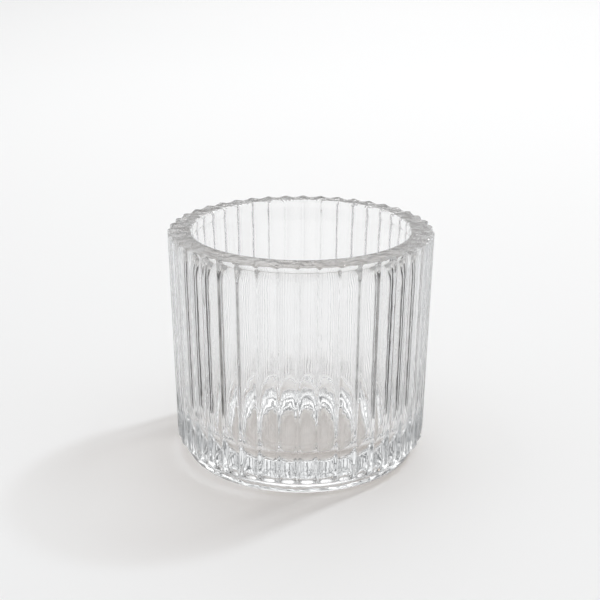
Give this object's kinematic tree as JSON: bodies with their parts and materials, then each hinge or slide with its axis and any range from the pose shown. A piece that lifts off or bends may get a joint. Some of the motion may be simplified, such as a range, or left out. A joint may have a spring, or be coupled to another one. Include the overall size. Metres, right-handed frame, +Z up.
{
  "type": "tealight holder",
  "caption": "Clear pressed-glass tealight holder: a thick tumbler with concave vertical flutes outside, a smooth round cavity with a dished floor, and a plain foot ring.",
  "frame": {"origin": "on the table, under the middle of the foot ring", "axes": "+Z up along the glass's axis, -Y towards the front, where one ridge between two flutes stands; +X to the right seen from the front"},
  "size_m": [0.0698, 0.07, 0.0615],
  "materials": {
    "clear_glass": "fire-polished, clear"
  },
  "bodies": {
    "root": {"glass_holder": "clear_glass"}
  },
  "joints": []
}
